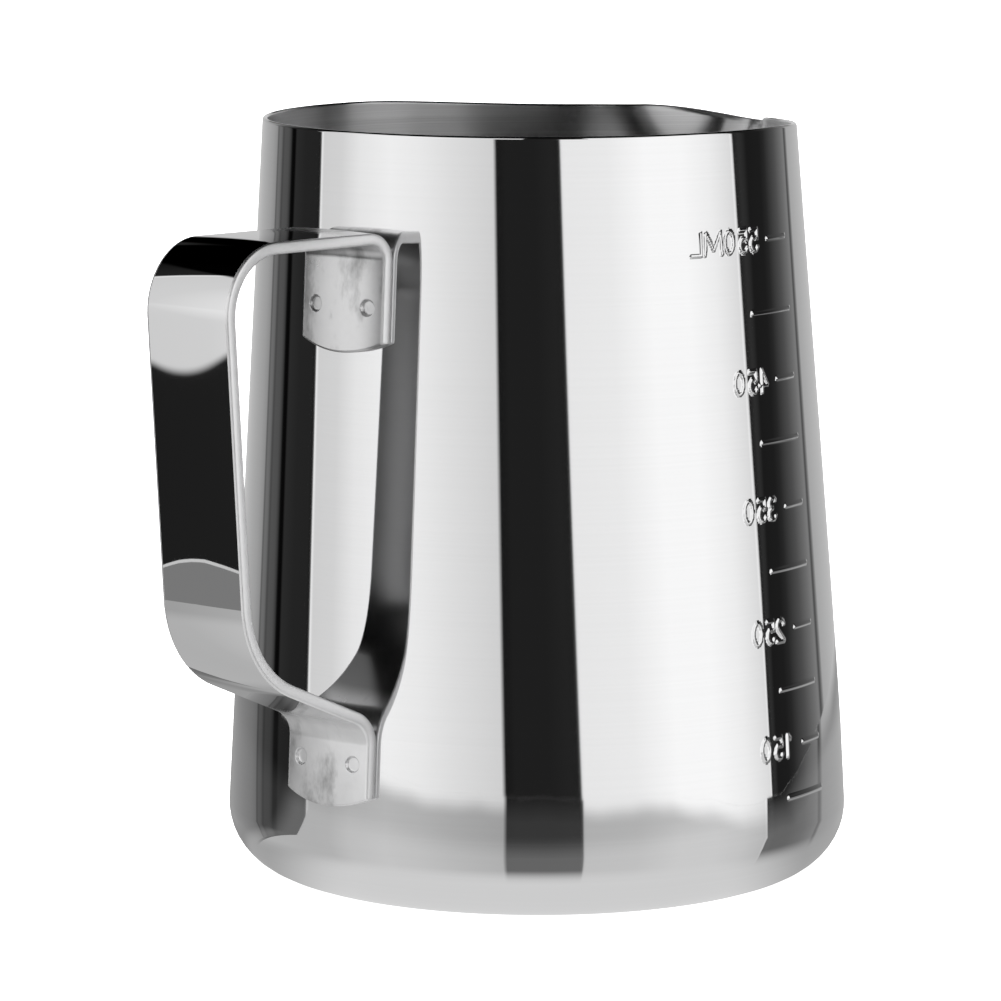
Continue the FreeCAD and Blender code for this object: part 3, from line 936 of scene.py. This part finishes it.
def table_top_material():
    """Table that glows with painted light: a painted reflection of what stands behind it, and a
    painted pool of light that makes it bright by the pitcher.
    """
    material, tree, place = start_material("table_top")
    distance = add(tree, "ShaderNodeVectorMath", {0: place}, operation="LENGTH").outputs["Value"]
    turned = camera_azimuth(tree, place)
    aimed = maths(tree, "DIVIDE", product(tree, turned, distance),
                  maths(tree, "SUBTRACT", distance, HALF_STEEL))
    bound = span(tree, turned, *LEFT_BOUND, -180.0, LEFT_BOUND_AT, "LINEAR")
    behind = horizon_light(tree, maths(tree, "MAXIMUM", aimed, bound), TABLE_PITCH)
    fade = add(tree, "ShaderNodeAttribute", attribute_name="fade").outputs["Fac"]
    passed = product(tree, span(tree, fade, 0.0, 1.0, PAINTED_REFLECTION_SHARE, 1.0),
                     span(tree, distance, *NEAR_LIGHT, 0.0, 1.0))
    light = [share / STEEL_MIRROR for share in TABLE_LIGHT]
    near = product(tree, span(tree, distance, *NEAR_LIGHT, light[0] - light[1], 0.0),
                   span(tree, maths(tree, "ABSOLUTE", turned), *NEAR_SIDE, 1.0, NEAR_SIDE_SHARE))
    far = product(tree, span(tree, distance, *FAR_LIGHT, *light[1:]),
                  span(tree, turned, *DARK_SIDE, DARK_SIDE_SHARE, 1.0))
    own = product(tree, maths(tree, "ADD", near, far), maths(tree, "SUBTRACT", 1.0, fade))
    # painted reflection: the table glows with the light of what stands behind it
    mirrored = add(tree, "ShaderNodeEmission", {"Color": behind, "Strength": passed})
    glow = add(tree, "ShaderNodeEmission", {"Strength": own})
    both = add(tree, "ShaderNodeAddShader", {0: mirrored.outputs[0], 1: glow.outputs[0]})
    add(tree, "ShaderNodeOutputMaterial", {"Surface": both.outputs[0]})
    return material


def glowing_material(name, shade):
    """Even light of a shade that is seen in the steel."""
    material, tree, _ = start_material(name)
    light = add(tree, "ShaderNodeEmission", {"Strength": linear(shade) / STEEL_MIRROR})
    add(tree, "ShaderNodeOutputMaterial", {"Surface": light.outputs[0]})
    return material


# The table is no lamp but glows: painted reflection and light on its top, painted shade on its
# border, a painted highlight on its rim.
def make_table():
    top = table_top_material()
    table = disc("table", 0.0, lambda angle: table_rings(angle)[0],
                 [top, top, glowing_material("table_border_painted_shade", BORDER_SHADE),
                  glowing_material("table_rim_painted_highlight", RIM_SHADE)])
    fades = [0.0] + [fade for angle in DISC_ANGLES for fade in table_rings(angle)[1]]
    table.data.attributes.new("fade", "FLOAT", "POINT").data.foreach_set("value", fades)
    table.visible_camera = False
    table.visible_shadow = False
    table.visible_diffuse = False


FLOOR_RADIUS = 9.0
FLOOR_DROP = 0.0002       # the floor is this far below the table top
LIGHT_ENERGY = 4.0        # of the broad soft light above, which only the floor shows
LIGHT_SPREAD = 80.0


def make_floor():
    pale = bpy.data.materials.new("floor_pale")
    pale.use_nodes = True
    surface = pale.node_tree.nodes["Principled BSDF"]
    surface.inputs["Base Color"].default_value = (0.85, 0.85, 0.85, 1.0)
    surface.inputs["Roughness"].default_value = 0.9
    surface.inputs["Specular IOR Level"].default_value = 0.0
    surface.inputs["Emission Color"].default_value = (1.0, 1.0, 1.0, 1.0)
    surface.inputs["Emission Strength"].default_value = 1.0
    floor = disc("floor", -FLOOR_DROP, lambda angle: [FLOOR_RADIUS], [pale])
    floor.visible_glossy = False
    data = bpy.data.lights.new("overhead", "SUN")
    data.energy = LIGHT_ENERGY
    data.angle = math.radians(LIGHT_SPREAD)
    overhead = bpy.data.objects.new("overhead", data)
    overhead.visible_glossy = False
    bpy.context.scene.collection.objects.link(overhead)


make_camera()
make_world()
make_floor()
make_table()
make_vessel(polished_steel(), brushed_steel())
# The inner side's grip is 0.33 against 0.8 outside, the same steel darkened: painted shade.
make_strap(strap_steel("strap_polished", 0.8, 0.01, 0.00000003),
           strap_steel("strap_satin_painted_shade", 0.33, 0.3, 0.0000012), strap_edge_steel())
welds = weld_steel()
for node in ("top_spot_welds", "lower_spot_welds"):
    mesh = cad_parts[node].data
    mesh.materials.clear()
    mesh.materials.append(welds)
bpy.context.scene.view_settings.view_transform = "Standard"
